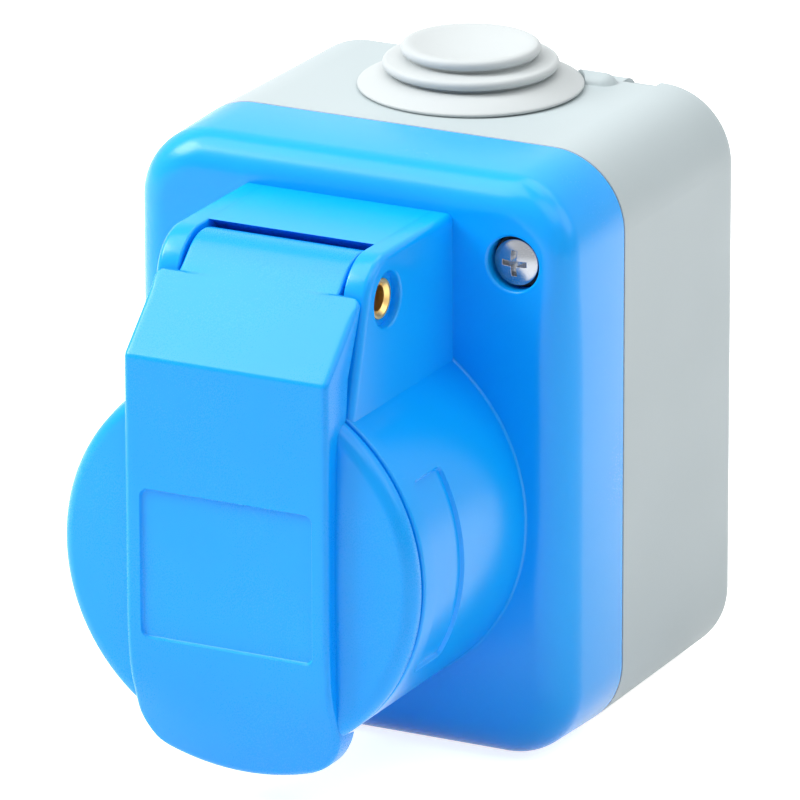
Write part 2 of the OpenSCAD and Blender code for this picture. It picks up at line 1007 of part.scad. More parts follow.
// Steel ring that keeps a slit sleeve tight on the plug pin
module clamp_ring(bore_r) {
    difference() {
        rod(ring_f, ring_f + ring_l, bore_r + sleeve_t + ring_t);
        rod(ring_f - over, ring_f + ring_l + over, bore_r + sleeve_t);
        translate([-bore_r - 2 * sleeve_t - ring_t, -ring_f - ring_l - over, -slit_w / 2])
            cube([bore_r + 2 * sleeve_t, ring_l + 2 * over, slit_w]);
    }
}

module live_spring() {
    color("lightsteelblue")
        at_contact(live_a)
            clamp_ring(line_bore_r);
}

module neutral_spring() {
    color("lightsteelblue")
        at_contact(neutral_a)
            clamp_ring(line_bore_r);
}

module earth_spring() {
    color("lightsteelblue")
        at_contact(earth_a)
            clamp_ring(earth_bore_r);
}

back_box();
cable_grommet();
cover_gasket();
thread_inserts();
front_cover();
cover_skirt();
cover_posts();
socket_collar();
hinge_block();
cover_screws();
screw_seals();
lid();
lid_gasket();
hinge_pin();
lid_spring();
contact_carrier();
carrier_shell();
carrier_face();
carrier_screws();
terminal_carrier();
terminal_screws();
live_contact();
neutral_contact();
earth_contact();
live_spring();
neutral_spring();
earth_spring();
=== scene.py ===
# %% [markdown]
# # An industrial wall socket in Blender
# The socket hangs on a wall: a grey box at the back, a blue cover with a round collar in front,
# and a sprung lid that turns on a brass tube. The construction gives exact solids. This lesson
# dresses them: every moulded piece gets the soft edges that a real mould leaves, because a
# glossy surface shows its edges first.

# %% Load the construction
import math

import bmesh
import bpy
import numpy as np
from mathutils import Matrix, Vector
from mathutils.geometry import delaunay_2d_cdt

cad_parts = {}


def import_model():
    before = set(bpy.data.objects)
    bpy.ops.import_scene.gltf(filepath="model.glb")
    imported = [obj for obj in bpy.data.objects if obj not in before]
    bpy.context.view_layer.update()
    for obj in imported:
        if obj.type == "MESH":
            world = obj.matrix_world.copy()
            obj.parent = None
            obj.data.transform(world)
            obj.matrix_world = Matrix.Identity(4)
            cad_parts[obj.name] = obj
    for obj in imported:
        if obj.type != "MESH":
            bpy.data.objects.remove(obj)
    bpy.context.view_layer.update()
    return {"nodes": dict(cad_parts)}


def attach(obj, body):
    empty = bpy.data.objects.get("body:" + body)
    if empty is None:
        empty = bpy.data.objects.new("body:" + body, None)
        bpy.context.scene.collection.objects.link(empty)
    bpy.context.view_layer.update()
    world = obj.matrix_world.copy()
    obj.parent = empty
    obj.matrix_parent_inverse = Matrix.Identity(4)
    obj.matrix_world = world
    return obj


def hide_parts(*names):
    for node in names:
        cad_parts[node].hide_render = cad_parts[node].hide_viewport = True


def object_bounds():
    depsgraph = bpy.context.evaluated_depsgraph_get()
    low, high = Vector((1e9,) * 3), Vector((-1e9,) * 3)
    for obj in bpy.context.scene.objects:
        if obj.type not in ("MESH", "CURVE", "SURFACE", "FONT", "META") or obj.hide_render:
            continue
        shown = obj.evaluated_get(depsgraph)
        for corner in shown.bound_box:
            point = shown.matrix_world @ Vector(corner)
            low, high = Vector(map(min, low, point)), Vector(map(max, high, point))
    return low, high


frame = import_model()

# %% [markdown]
# ## Points and patches
# A moulded piece could be sculpted or built from Blender's primitives. Here each surface is
# worked out as an array of points instead: one row for each step along the piece and one column
# for each step round it. The array becomes a patch of quads, and patches that share a border are
# welded into one closed mesh. All sizes are in millimetres, as x across, f forward of the wall
# and z up, and only the last step turns them into metres.

# %% Patches of points
MM = 0.001
WELD = 4e-7
TINY = 1e-6


def world(x, f, z):
    """Points in metres from across, forward and up in millimetres: forward is -Y."""
    x, f, z = np.broadcast_arrays(x, f, z)
    return np.stack([x, -f, z], axis=-1) * MM


def grid_patch(points, wrap_rows=False, wrap_cols=False):
    """Quads of a grid: point (i, j) joins (i + 1, j), (i + 1, j + 1) and (i, j + 1)."""
    rows, cols = points.shape[:2]
    i = np.arange(rows if wrap_rows else rows - 1)[:, None]
    j = np.arange(cols if wrap_cols else cols - 1)[None, :]
    next_i, next_j = (i + 1) % rows, (j + 1) % cols
    corners = (i * cols + j, next_i * cols + j, next_i * cols + next_j, i * cols + next_j)
    quads = np.stack(np.broadcast_arrays(*corners), axis=-1).reshape(-1, 4)
    return points.reshape(-1, 3), quads.tolist()


def lies_inside(points, loop):
    """Whether points lie inside a loop: a ray to the right crosses its sides an odd number of
    times."""
    x, y = points[:, :1], points[:, 1:]
    (x0, y0), (x1, y1) = loop.T, np.roll(loop, -1, axis=0).T
    drop = np.where(y1 == y0, 1.0, y1 - y0)
    crossed = ((y0 > y) != (y1 > y)) & (x < x0 + (y - y0) * (x1 - x0) / drop)
    return crossed.sum(axis=1) % 2 == 1


def flat_patch(place, outer, holes=()):
    """Triangles between an outer loop and its holes, all given in a plane; place(a, b)
    turns the plane's two coordinates into points."""
    loops = [np.asarray(loop, float) for loop in (outer, *holes)]
    ends = np.cumsum([0] + [len(loop) for loop in loops])
    sides = np.concatenate([np.stack([np.arange(a, b), np.roll(np.arange(a, b), -1)], axis=-1)
                            for a, b in zip(ends, ends[1:])])
    flat = [Vector(p) for p in np.concatenate(loops).tolist()]
    found, _, faces, *_ = delaunay_2d_cdt(flat, sides.tolist(), [], 0, TINY)
    found, faces = np.array([tuple(p) for p in found]), np.array(faces)
    middle = found[faces].mean(axis=1)
    kept = lies_inside(middle, loops[0])
    for loop in loops[1:]:
        kept &= ~lies_inside(middle, loop)
    return place(found[:, 0], found[:, 1]), faces[kept].tolist()


print("patch helpers ready, weld distance", WELD, "m")

# %% [markdown]
# A patch list becomes a piece in one place, so that every piece is welded, has its faces turned
# outwards, is shaded smooth with sharp edges kept sharp, rides on its body, and hides the CAD
# nodes that it stands for.

# %% Pieces
SHARP_DEG = 28.0


def make_piece(name, patches, finish, body, slot, *stands_for):
    """One closed mesh from patches of points, riding on a body in place of CAD nodes."""
    starts = np.cumsum([0] + [len(points) for points, _ in patches])
    points = np.concatenate([points for points, _ in patches])
    faces = [[int(k + start) for k in face]
             for start, (_, some) in zip(starts, patches) for face in some]
    mesh = bpy.data.meshes.new(name)
    mesh.from_pydata(points.tolist(), [], faces)
    work = bmesh.new()
    work.from_mesh(mesh)
    bmesh.ops.remove_doubles(work, verts=work.verts, dist=WELD)
    bmesh.ops.dissolve_degenerate(work, edges=work.edges, dist=WELD)
    bmesh.ops.recalc_face_normals(work, faces=work.faces)
    open_edges = sum(not edge.is_manifold for edge in work.edges)
    work.to_mesh(mesh)
    work.free()
    mesh.shade_smooth()
    mesh.set_sharp_from_angle(angle=math.radians(SHARP_DEG))
    piece = bpy.data.objects.new(name, mesh)
    bpy.context.scene.collection.objects.link(piece)
    mesh.materials.append(finish)
    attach(piece, body)
    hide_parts(*stands_for)
    print(name, len(mesh.polygons), "faces,", open_edges, "open edges")


print("edges above", SHARP_DEG, "degrees stay sharp")

# %% [markdown]
# ## Shared surface effects
# Moulded plastic is never quite even: it has a very fine grain, its gloss drifts a little, and
# its colour is a touch deeper in some places. Metal has the same kind of drift. These effects
# could be painted on pictures, but each piece would then have to be unwrapped. As node groups with
# named sockets they are built once and placed in each material with its own values. Small helpers
# come first.

# %% Helpers for nodes
NOISE_LOW, NOISE_HIGH = 0.2, 0.8
FLOAT, COLOR, VECTOR = "NodeSocketFloat", "NodeSocketColor", "NodeSocketVector"


def new_group(name, inputs, outputs):
    """A node group with named sockets; returns the tree and its input and output nodes."""
    tree = bpy.data.node_groups.new(name, "ShaderNodeTree")
    for socket, kind, value in inputs:
        made = tree.interface.new_socket(socket, in_out="INPUT", socket_type=kind)
        if value is not None:
            made.default_value = value
    for socket, kind in outputs:
        tree.interface.new_socket(socket, in_out="OUTPUT", socket_type=kind)
    return tree, tree.nodes.new("NodeGroupInput"), tree.nodes.new("NodeGroupOutput")


def feed(tree, value, socket):
    """Puts a number on a socket, or links another socket to it."""
    if isinstance(value, float):
        socket.default_value = value
    else:
        tree.links.new(value, socket)


def noise(tree, vector, scale, detail=2.0):
    """A noise texture on a position in metres; scale is in bumps per metre."""
    node = tree.nodes.new("ShaderNodeTexNoise")
    node.inputs["Scale"].default_value = scale
    node.inputs["Detail"].default_value = detail
    tree.links.new(vector, node.inputs["Vector"])
    return node.outputs["Fac"]


def spread(tree, value, low, high):
    """Stretches the middle of a noise to run from low to high with soft ends."""
    node = tree.nodes.new("ShaderNodeMapRange")
    node.interpolation_type = "SMOOTHSTEP"
    for socket, end in (("From Min", NOISE_LOW), ("From Max", NOISE_HIGH),
                        ("To Min", low), ("To Max", high), ("Value", value)):
        feed(tree, end, node.inputs[socket])
    return node.outputs["Result"]


print("noise is stretched from", NOISE_LOW, "to", NOISE_HIGH)

# %% [markdown]
# The grain group puts out a height for the fine grain and a roughness for the gloss. The gloss
# takes half of its drift from the fine grain, so that it never changes along a line. The colour
# group drifts slowly between two colours.

# %% Grain and colour flow
GRAIN_SCALE, DRIFT_SCALE, CLOUD_SCALE = 5200.0, 60.0, 30.0

grain, ends_in, ends_out = new_group(
    "moulded_grain",
    [("Position", VECTOR, None), ("Smooth", FLOAT, 0.2), ("Rough", FLOAT, 0.3)],
    [("Height", FLOAT), ("Roughness", FLOAT)])
fine = noise(grain, ends_in.outputs["Position"], GRAIN_SCALE)
drift = noise(grain, ends_in.outputs["Position"], DRIFT_SCALE, detail=1.0)
both = grain.nodes.new("ShaderNodeMix")
grain.links.new(fine, both.inputs["A"])
grain.links.new(drift, both.inputs["B"])
gloss = spread(grain, both.outputs["Result"],
               ends_in.outputs["Smooth"], ends_in.outputs["Rough"])
grain.links.new(fine, ends_out.inputs["Height"])
grain.links.new(gloss, ends_out.inputs["Roughness"])

flow, ends_in, ends_out = new_group(
    "colour_flow",
    [("Position", VECTOR, None), ("Colour", COLOR, None), ("Deeper", COLOR, None)],
    [("Colour", COLOR)])
cloud = noise(flow, ends_in.outputs["Position"], CLOUD_SCALE, detail=1.0)
blend = flow.nodes.new("ShaderNodeMix")
blend.data_type = "RGBA"
flow.links.new(spread(flow, cloud, 0.0, 1.0), blend.inputs["Factor"])
flow.links.new(ends_in.outputs["Colour"], blend.inputs["A"])
flow.links.new(ends_in.outputs["Deeper"], blend.inputs["B"])
flow.links.new(blend.outputs["Result"], ends_out.inputs["Colour"])
print("groups", grain.name, flow.name)

# %% [markdown]
# ## Finishes
# One function builds a finish: a Principled shader whose colour, roughness and height come from
# the groups, while every value that is the same all over stays on the shader itself. A Bevel
# node softens the edges of CAD solids that keep their exact shape.

# %% Finish builder
BEVEL_SAMPLES = 6


def linear(red, green, blue):
    """A colour as seen on screen, 0 to 255, as the linear values that a shader takes: the
    screen's own curve, a short straight line and then a power of 2.4."""
    c = np.array([red, green, blue]) / 255.0
    c = np.where(c <= 0.04045, c / 12.92, ((c + 0.055) / 1.055) ** 2.4)
    return (*c.tolist(), 1.0)


def make_finish(name, colour, deeper, smooth, rough, grain_mm=0.0, soft_edge_mm=0.0, **constant):
    """A finish with drifting colour and gloss, fine grain and softened edges."""
    finish = bpy.data.materials.new(name)
    finish.use_nodes = True
    tree = finish.node_tree
    shader = tree.nodes["Principled BSDF"]
    for socket, value in constant.items():
        shader.inputs[socket.replace("_", " ")].default_value = value
    place = tree.nodes.new("ShaderNodeTexCoord").outputs["Object"]
    flow_node = tree.nodes.new("ShaderNodeGroup")
    flow_node.node_tree = flow
    flow_node.inputs["Colour"].default_value = linear(*colour)
    flow_node.inputs["Deeper"].default_value = linear(*deeper)
    grain_node = tree.nodes.new("ShaderNodeGroup")
    grain_node.node_tree = grain
    grain_node.inputs["Smooth"].default_value = smooth
    grain_node.inputs["Rough"].default_value = rough
    for node in (flow_node, grain_node):
        tree.links.new(place, node.inputs["Position"])
    tree.links.new(flow_node.outputs["Colour"], shader.inputs["Base Color"])
    tree.links.new(grain_node.outputs["Roughness"], shader.inputs["Roughness"])
    bump = tree.nodes.new("ShaderNodeBump")
    bump.inputs["Strength"].default_value = 1.0
    bump.inputs["Distance"].default_value = grain_mm * MM
    tree.links.new(grain_node.outputs["Height"], bump.inputs["Height"])
    if soft_edge_mm:
        bevel = tree.nodes.new("ShaderNodeBevel")
        bevel.samples = BEVEL_SAMPLES
        bevel.inputs["Radius"].default_value = soft_edge_mm * MM
        tree.links.new(bevel.outputs["Normal"], bump.inputs["Normal"])
    tree.links.new(bump.outputs["Normal"], shader.inputs["Normal"])
    return finish


print("a mid grey of 128 is", round(linear(128, 128, 128)[0], 3), "in linear light")

# %% [markdown]
# The socket has two blues, which let a little light in under the surface, a light grey box, a
# white elastic grommet, black seals, a dark carrier, brass and plated steel. Each has a colour and a
# slightly deeper one, and two values between which its gloss drifts. The black of the seals under
# the screw heads is a seal and also painted shade in the gap round each head.

# %% Finishes of the socket
BLUE = dict(grain_mm=0.0006, IOR=1.38, Subsurface_Weight=0.1, Subsurface_Scale=0.0025,
            Subsurface_Radius=(0.15, 0.5, 1.0))
cover_blue = make_finish("cover_blue", (2, 167, 255), (0, 163, 254), 0.22, 0.28, **BLUE)
lid_blue = make_finish("lid_blue", (2, 165, 255), (0, 161, 254), 0.25, 0.31, **BLUE)
box_grey = make_finish("box_grey", (178, 190, 193), (174, 186, 189), 0.42, 0.5,
                       grain_mm=0.003, soft_edge_mm=0.35)
grommet_white = make_finish("grommet_white", (190, 196, 197), (186, 192, 193), 0.5, 0.62,
                            grain_mm=0.003)
# The black on the screw seals also stands for the shade in the gap round each screw head: painted
# shade as well as a seal.
black_seals_and_gap_shade = make_finish("black_seals_and_gap_shade", (26, 27, 29), (20, 21, 23), 0.5, 0.65,
                         grain_mm=0.003, soft_edge_mm=0.15)
carrier_dark = make_finish("carrier_dark", (58, 61, 64), (50, 53, 57), 0.4, 0.5,
                           grain_mm=0.003, soft_edge_mm=0.2)
brass = make_finish("turned_brass", (232, 202, 138), (216, 182, 112), 0.28, 0.4,
                    grain_mm=0.001, soft_edge_mm=0.12, Metallic=1.0)
steel = make_finish("plated_steel", (178, 181, 186), (160, 164, 170), 0.2, 0.3,
                    grain_mm=0.001, soft_edge_mm=0.12, Metallic=1.0)
print("finishes", len(bpy.data.materials))

# %% [markdown]
# ## Curves that carry the shapes
# Two curves come back in most pieces: an arc, and a polygon with rounded corners. Blender's own
# curves could draw them, but as arrays they go straight into the patches. A rounded corner touches
# both sides of the corner, so its centre lies on the line that halves the angle. The other helpers
# give an outline's normals, a soft step, and the distance to a rounded rectangle.

# %% Arcs and soft outlines
def arc(centre, radius, start_deg, end_deg, steps=12):
    """Points on a circle: centre plus radius times cosine and sine of an even run of angles."""
    angle = np.radians(np.linspace(start_deg, end_deg, steps))
    return np.asarray(centre, float) + radius * np.stack([np.cos(angle), np.sin(angle)], axis=-1)


def soft_outline(corners, radii, steps=10):
    """A closed polygon with rounded corners: at each corner the arc turns evenly from the
    point where it touches one side to the point where it touches the other."""
    at = np.asarray(corners, float)
    radii = np.broadcast_to(np.asarray(radii, float), len(at))
    back, ahead = np.roll(at, 1, axis=0) - at, np.roll(at, -1, axis=0) - at
    back /= np.linalg.norm(back, axis=1, keepdims=True)
    ahead /= np.linalg.norm(ahead, axis=1, keepdims=True)
    half = 0.5 * np.arccos(np.clip((back * ahead).sum(axis=1), -1.0, 1.0))
    middle = back + ahead
    middle /= np.linalg.norm(middle, axis=1, keepdims=True)
    centre = at + middle * (radii / np.sin(half))[:, None]
    reach = (radii / np.tan(half))[:, None]
    first, last = at + back * reach - centre, at + ahead * reach - centre
    turn = (np.pi - 2.0 * half)[:, None, None]
    t = np.linspace(0.0, 1.0, steps)[None, :, None]
    sweep = np.sin((1 - t) * turn) * first[:, None] + np.sin(t * turn) * last[:, None]
    points = (centre[:, None] + sweep / np.sin(turn)).reshape(-1, 2)
    apart = np.linalg.norm(points - np.roll(points, 1, axis=0), axis=1)
    return points[apart > TINY]


def outward(outline):
    """Unit normals of a closed outline that runs anticlockwise: the way from the point before
    to the point after, turned a quarter to the right."""
    along = np.roll(outline, -1, axis=0) - np.roll(outline, 1, axis=0)
    normal = np.stack([along[:, 1], -along[:, 0]], axis=-1)
    return normal / np.linalg.norm(normal, axis=1, keepdims=True)


def smooth_step(edge0, edge1, value):
    """0 before edge0 and 1 after edge1; between them, with t running from 0 to 1, three t
    squared less two t cubed."""
    t = np.clip((value - edge0) / (edge1 - edge0), 0.0, 1.0)
    return t * t * (3.0 - 2.0 * t)


def inside_field(a, b, half_a, half_b, corner):
    """How far a point lies outside a rounded rectangle about 0, 0, negative inside: the distance
    to the rectangle of the corners' centres, less the corners' radius."""
    qa, qb = np.abs(a) - half_a + corner, np.abs(b) - half_b + corner
    outside = np.hypot(np.maximum(qa, 0.0), np.maximum(qb, 0.0))
    return outside + np.minimum(np.maximum(qa, qb), 0.0) - corner


print("a soft square has", len(soft_outline([(0, 0), (1, 0), (1, 1), (0, 1)], 0.2)), "points")

# %% [markdown]
# ## Front cover
# The cover is a shallow cap: leaning sides, a generous round to the front face, two screw seats
# on one diagonal, and the hole that the collar stands in. A cube with a Bevel modifier would give
# much the same round, but not the lean and the screw seats. So the cap is a stack of rounded
# rectangles, each a little further in and forward, and the flat face is filled between the last
# one and the round holes. First come the loops that it is made of.

# %% Loops of the cover
BOX_W, BOX_H, CORNER = 75.0, 93.0, 12.0
ROUND_STEPS = 72


def front_loop(steps=20, side_steps=14):
    """The box's outline seen from the front, as centres and outward directions: round each
    corner the direction turns about one centre, and along each side the centre moves on. A
    point lies at its centre plus the corner radius, less an inset, along its direction."""
    wide, tall = BOX_W / 2 - CORNER, BOX_H / 2 - CORNER
    corners = np.array([(wide, tall), (-wide, tall), (-wide, -tall), (wide, -tall)])
    turn = np.linspace(0.0, np.pi / 2, steps)[None, :] + np.pi / 2 * np.arange(4)[:, None]
    turn = np.concatenate([turn, np.repeat(turn[:, -1:], side_steps, axis=1)], axis=1)
    moved = np.concatenate([np.zeros(steps), np.linspace(0.0, 1.0, side_steps + 2)[1:-1]])[:, None]
    centre = corners[:, None] * (1 - moved) + np.roll(corners, -1, axis=0)[:, None] * moved
    return centre.reshape(-1, 2), np.stack([np.cos(turn), np.sin(turn)], axis=-1).reshape(-1, 2)


def circle_loop(centre, radius, steps=ROUND_STEPS):
    """A full circle without its repeated last point."""
    return arc(centre, radius, 0.0, 360.0, steps + 1)[:-1]


def hole_patch(centre, profile):
    """A round hole along the forward direction: each profile point is a radius and a depth."""
    radius, depth = np.asarray(profile, float).T
    ring = circle_loop((0.0, 0.0), 1.0)
    return grid_patch(world(centre[0] + radius[:, None] * ring[:, 0], depth[:, None],
                            centre[1] + radius[:, None] * ring[:, 1]), wrap_cols=True)


centre, out = front_loop()
rim = centre + CORNER * out
print("box outline", len(rim), "points")

# %% [markdown]
# Each ring of the cap is the outline with an inset, at a depth. Beside the two seats the round is
# a little tighter, so that the seats lie in the flat of the face. The tightening fades out as a
# bell curve of the distance from each seat.

# %% Rings of the cap
JOINT_F, FACE_F, EDGE_R, LEAN = 40.5, 59.1, 5.7, 0.35
LIP, COVER_WALL, PLATE_BACK_F = 0.45, 2.6, 55.0
SCREWS = ((27.8, 33.5), (-27.8, -33.5))
TIGHTER, SEAT_REACH, FLAT_RIM = 1.45, 9.0, 0.15

nearest = np.array([(np.sign(x) * BOX_W / 2, z) for x, z in SCREWS])
near = np.exp(-(np.linalg.norm(rim[:, None] - nearest, axis=2) / SEAT_REACH) ** 2).sum(axis=1)
edge = EDGE_R - TIGHTER * near
lip = arc((LIP, JOINT_F + LIP), LIP, 270.0, 180.0, steps=6)
swing = np.radians(np.linspace(180.0, 90.0, 18))[:, None]
ones = np.ones(len(rim))
inset = np.concatenate([np.array([COVER_WALL, COVER_WALL, *lip[:, 0]])[:, None] * ones,
                        LEAN + edge + edge * np.cos(swing), [LEAN + edge + FLAT_RIM]])
depth = np.concatenate([np.array([PLATE_BACK_F, JOINT_F, *lip[:, 1]])[:, None] * ones,
                        FACE_F - edge + edge * np.sin(swing), [FACE_F * ones]])
cap = centre + (CORNER - inset)[:, :, None] * out
shell = [grid_patch(world(cap[..., 0], depth, cap[..., 1]), wrap_cols=True)]
print("cap", len(cap), "rings")

# %% [markdown]
# The face and the plate's back are filled round their holes. A Boolean could cut the holes, but it
# leaves sharp rims. Here a profile of radius and depth lines each hole, and the screw seats get a
# soft rim from it.

# %% Face and screw seats
COLLAR_Z, SLEEVE_R, SLEEVE_OUT = -7.25, 22.8, 25.2
SEAT_R, SEAT_F, SEAT_ROUND, SCREW_HOLE = 4.3, 55.8, 0.4, 2.2

seat_rim = SEAT_R + SEAT_ROUND + FLAT_RIM
plug_r = (SLEEVE_R + SLEEVE_OUT) / 2
plug_hole = circle_loop((0.0, COLLAR_Z), plug_r)
front_holes = [circle_loop(at, seat_rim) for at in SCREWS]
back_holes = [circle_loop(at, SCREW_HOLE) for at in SCREWS]
shell.append(flat_patch(lambda a, b: world(a, FACE_F, b), cap[-1], [*front_holes, plug_hole]))
shell.append(flat_patch(lambda a, b: world(a, PLATE_BACK_F, b), cap[0], [*back_holes, plug_hole]))
seat = np.concatenate([
    [[seat_rim, FACE_F]],
    arc((SEAT_R + SEAT_ROUND, FACE_F - SEAT_ROUND), SEAT_ROUND, 90.0, 180.0, steps=6),
    [[SEAT_R, SEAT_F], [SCREW_HOLE, SEAT_F], [SCREW_HOLE, PLATE_BACK_F]]])
shell += [hole_patch(at, seat) for at in SCREWS]
shell.append(hole_patch((0.0, COLLAR_Z), [[plug_r, FACE_F], [plug_r, PLATE_BACK_F]]))
make_piece("cover_shell", shell, cover_blue, "housing", "blue_plastic", "front_cover", "cover_skirt")

# %% [markdown]
# ## Socket collar
# The collar is a round wall that the plug slides into. It is a profile turned about the collar's
# axis, so a Screw modifier could make it. Two details break the roundness: the sunk panel on the
# right side and the groove for the plug's key below. As a surface of angle and profile step, both
# are small changes of radius. The profile's rows lie close together at the panel's borders.

# %% Collar profile
COLLAR_R, RIM_F, FLANGE_F = 30.0, 92.4, 51.5
FILLET, RIM_ROUND, MOUTH_ROUND, FILLET_SINK = 0.5, 0.45, 0.7, 0.03
PANEL_F, PANEL_HALF_F = 84.0, 4.4
ROWS_OUT, ROWS_IN, ROW_GAPS = 0.5, 1.3, (0.1, 0.3)
BORE_ROWS, ROOT_F = (80.0, 65.0), PLATE_BACK_F + 1.0

panel_low, panel_high = PANEL_F - PANEL_HALF_F, PANEL_F + PANEL_HALF_F
close_rows = np.linspace(-ROWS_OUT, ROWS_IN, 19)
inner = ROWS_IN + ROW_GAPS[1]
wall_f = np.concatenate([
    np.linspace(FACE_F + FILLET, panel_low - ROWS_OUT - ROW_GAPS[0], 10)[1:],
    panel_low + close_rows,
    np.linspace(panel_low + inner, panel_high - inner, 12),
    panel_high - close_rows[::-1]])
collar = np.concatenate([
    arc((COLLAR_R + FILLET, FACE_F + FILLET - FILLET_SINK), FILLET, 270.0, 180.0, steps=8),
    np.stack([np.full_like(wall_f, COLLAR_R), wall_f], axis=-1),
    arc((COLLAR_R - RIM_ROUND, RIM_F - RIM_ROUND), RIM_ROUND, 0.0, 90.0, steps=8),
    arc((SLEEVE_R + MOUTH_ROUND, RIM_F - MOUTH_ROUND), MOUTH_ROUND, 90.0, 180.0, steps=7),
    [[SLEEVE_R, f] for f in (*BORE_ROWS, FLANGE_F)],
    [[SLEEVE_OUT, FLANGE_F], [SLEEVE_OUT, ROOT_F], [COLLAR_R + FILLET, ROOT_F]]])
print("collar", len(collar), "profile points")

# %% [markdown]
# The profile is carried round at angles that lie close together over the panel and at the groove's
# sides. Panel and groove then change the radius, each by its depth times a soft step.

# %% Collar wall
PANEL_HALF_DEG, PANEL_DEPTH, PANEL_CORNER, PANEL_BORDER = 30.0, 0.6, 1.0, (0.12, -0.22)
KEY_HALF, KEY_DEPTH, KEY_EDGE = 2.7, 1.5, 0.12
TURN_DEG, PANEL_SPARE_DEG, KEY_SPARE_DEG = 2.5, 2.0, 0.6


def collar_angles():
    """Even steps all round, fine steps over the panel, and very fine ones at the key's sides."""
    span = PANEL_HALF_DEG + PANEL_SPARE_DEG
    over_panel = np.linspace(-span, span, 260) % 360.0
    side = np.degrees(np.arcsin(KEY_HALF / SLEEVE_R))
    at_key = [270.0 + s * side + np.linspace(-KEY_SPARE_DEG, KEY_SPARE_DEG, 9) for s in (-1, 1)]
    steps = np.concatenate([np.arange(0.0, 360.0, TURN_DEG), over_panel, *at_key])
    return np.radians(np.unique(np.round(steps, 4)))


angles = collar_angles()[None, :]
radius, depth = collar[:, :1], collar[:, 1:]
around = (angles + np.pi) % (2 * np.pi) - np.pi
panel = inside_field(around * COLLAR_R, depth - PANEL_F,
                     np.radians(PANEL_HALF_DEG) * COLLAR_R, PANEL_HALF_F, PANEL_CORNER)
sunk = PANEL_DEPTH * smooth_step(*PANEL_BORDER, panel) * (radius > COLLAR_R - TINY)
from_key = np.abs(np.cos(angles)) * SLEEVE_R
key = smooth_step(KEY_HALF + KEY_EDGE, KEY_HALF - KEY_EDGE, from_key) * (np.sin(angles) < 0)
bore = (radius < SLEEVE_R + MOUTH_ROUND + TINY) & (depth > FLANGE_F - TINY)
turned = radius - sunk + KEY_DEPTH * key * bore
make_piece("socket_collar_wall",
           [grid_patch(world(turned * np.cos(angles), depth, COLLAR_Z + turned * np.sin(angles)),
                       wrap_rows=True, wrap_cols=True)],
           cover_blue, "housing", "blue_plastic", "socket_collar")

# %% [markdown]
# ## Hinge block
# Above the collar stands the block that holds the hinge: two ears with round noses, and the
# hollowed middle behind the lid's barrel. Each is a flat outline, drawn from the side and pushed
# across the socket. Near its faces the outline shrinks along its own normals while it moves on,
# so that the edge follows a quarter circle. That is what the Bevel modifier does too, but here
# the two sides of an ear get different rounds.

# %% Slabs with soft edges
FOOT_Z, FRONT_SLOPE = 16.75, 4.5 / 16.0


def front_at(z):
    """Where the block's sloping front lies at a height: at the rim's depth at the foot, and from
    there back by the slope times the height above it."""
    return RIM_F - FRONT_SLOPE * (z - FOOT_Z)


def soft_slab(outline, x0, x1, round0, round1, hole=None, steps=7):
    """An outline in forward and up, pushed from x0 to x1. Within round0 and round1 of the two
    faces it moves in by round times 1 - cos while x moves on by round times sin. hole is a
    profile of radius and x about a centre, which opens both faces."""
    turn = np.linspace(0.0, np.pi / 2, steps)
    rims = [FLAT_RIM if size else 0.0 for size in (round0, round1)]
    x = np.concatenate([[x0], x0 + round0 * (1 - np.sin(turn[::-1])),
                        x1 - round1 * (1 - np.sin(turn)), [x1]])
    inset = np.concatenate([[round0 + rims[0]], round0 * (1 - np.cos(turn[::-1])),
                            round1 * (1 - np.cos(turn)), [round1 + rims[1]]])
    normal = outward(outline)
    f = outline[:, :1] - normal[:, :1] * inset
    z = outline[:, 1:] - normal[:, 1:] * inset
    patches = [grid_patch(world(x, f, z), wrap_rows=True)]
    rings = [[], []]
    if hole is not None:
        centre, profile = hole
        radius, across = np.asarray(profile, float).T
        ring = circle_loop((0.0, 0.0), 1.0)
        patches.append(grid_patch(world(across[:, None], centre[0] + radius[:, None] * ring[:, 0],
                                        centre[1] + radius[:, None] * ring[:, 1]), wrap_cols=True))
        rings = [[circle_loop(centre, radius[0])], [circle_loop(centre, radius[-1])]]
    for k, end in ((0, x0), (-1, x1)):
        patches.append(flat_patch(lambda a, b, at=end: world(at, a, b),
                                  np.stack([f[:, k], z[:, k]], axis=-1), rings[k]))
    return patches


print("the block's front leans back by", round(math.degrees(math.atan(FRONT_SLOPE)), 1), "degrees")

# %% [markdown]
# One ear is made and mirrored. The middle reaches a little way into both ears, so that no groove
# shows on the top between them, and its pocket is an arc about the pin.

# %% Ears and middle
HINGE = np.array([80.5, 32.75])
BLOCK_HALF, SLOT_HALF, NOSE_R = 17.8, 13.8, 7.25
BLOCK_BACK, BLOCK_LOW, BLOCK_TOP = 57.0, 13.0, 40.0
CHIN_F, EAR_LOW, EAR_CORNER = 91.8, 17.3, 2.0
EAR_ROUND, SLOT_ROUND = 1.15, 0.35
PIN_SEAT_R, PIN_SEAT_DEPTH, PIN_SEAT_ROUND, PIN_HOLE_R = 4.3, 1.5, 0.35, 3.12
POCKET_R, CORE_LOW, CORE_BACK, CORE_OVER, CORE_DROP = 7.85, 17.2, 0.4, 0.6, 0.005

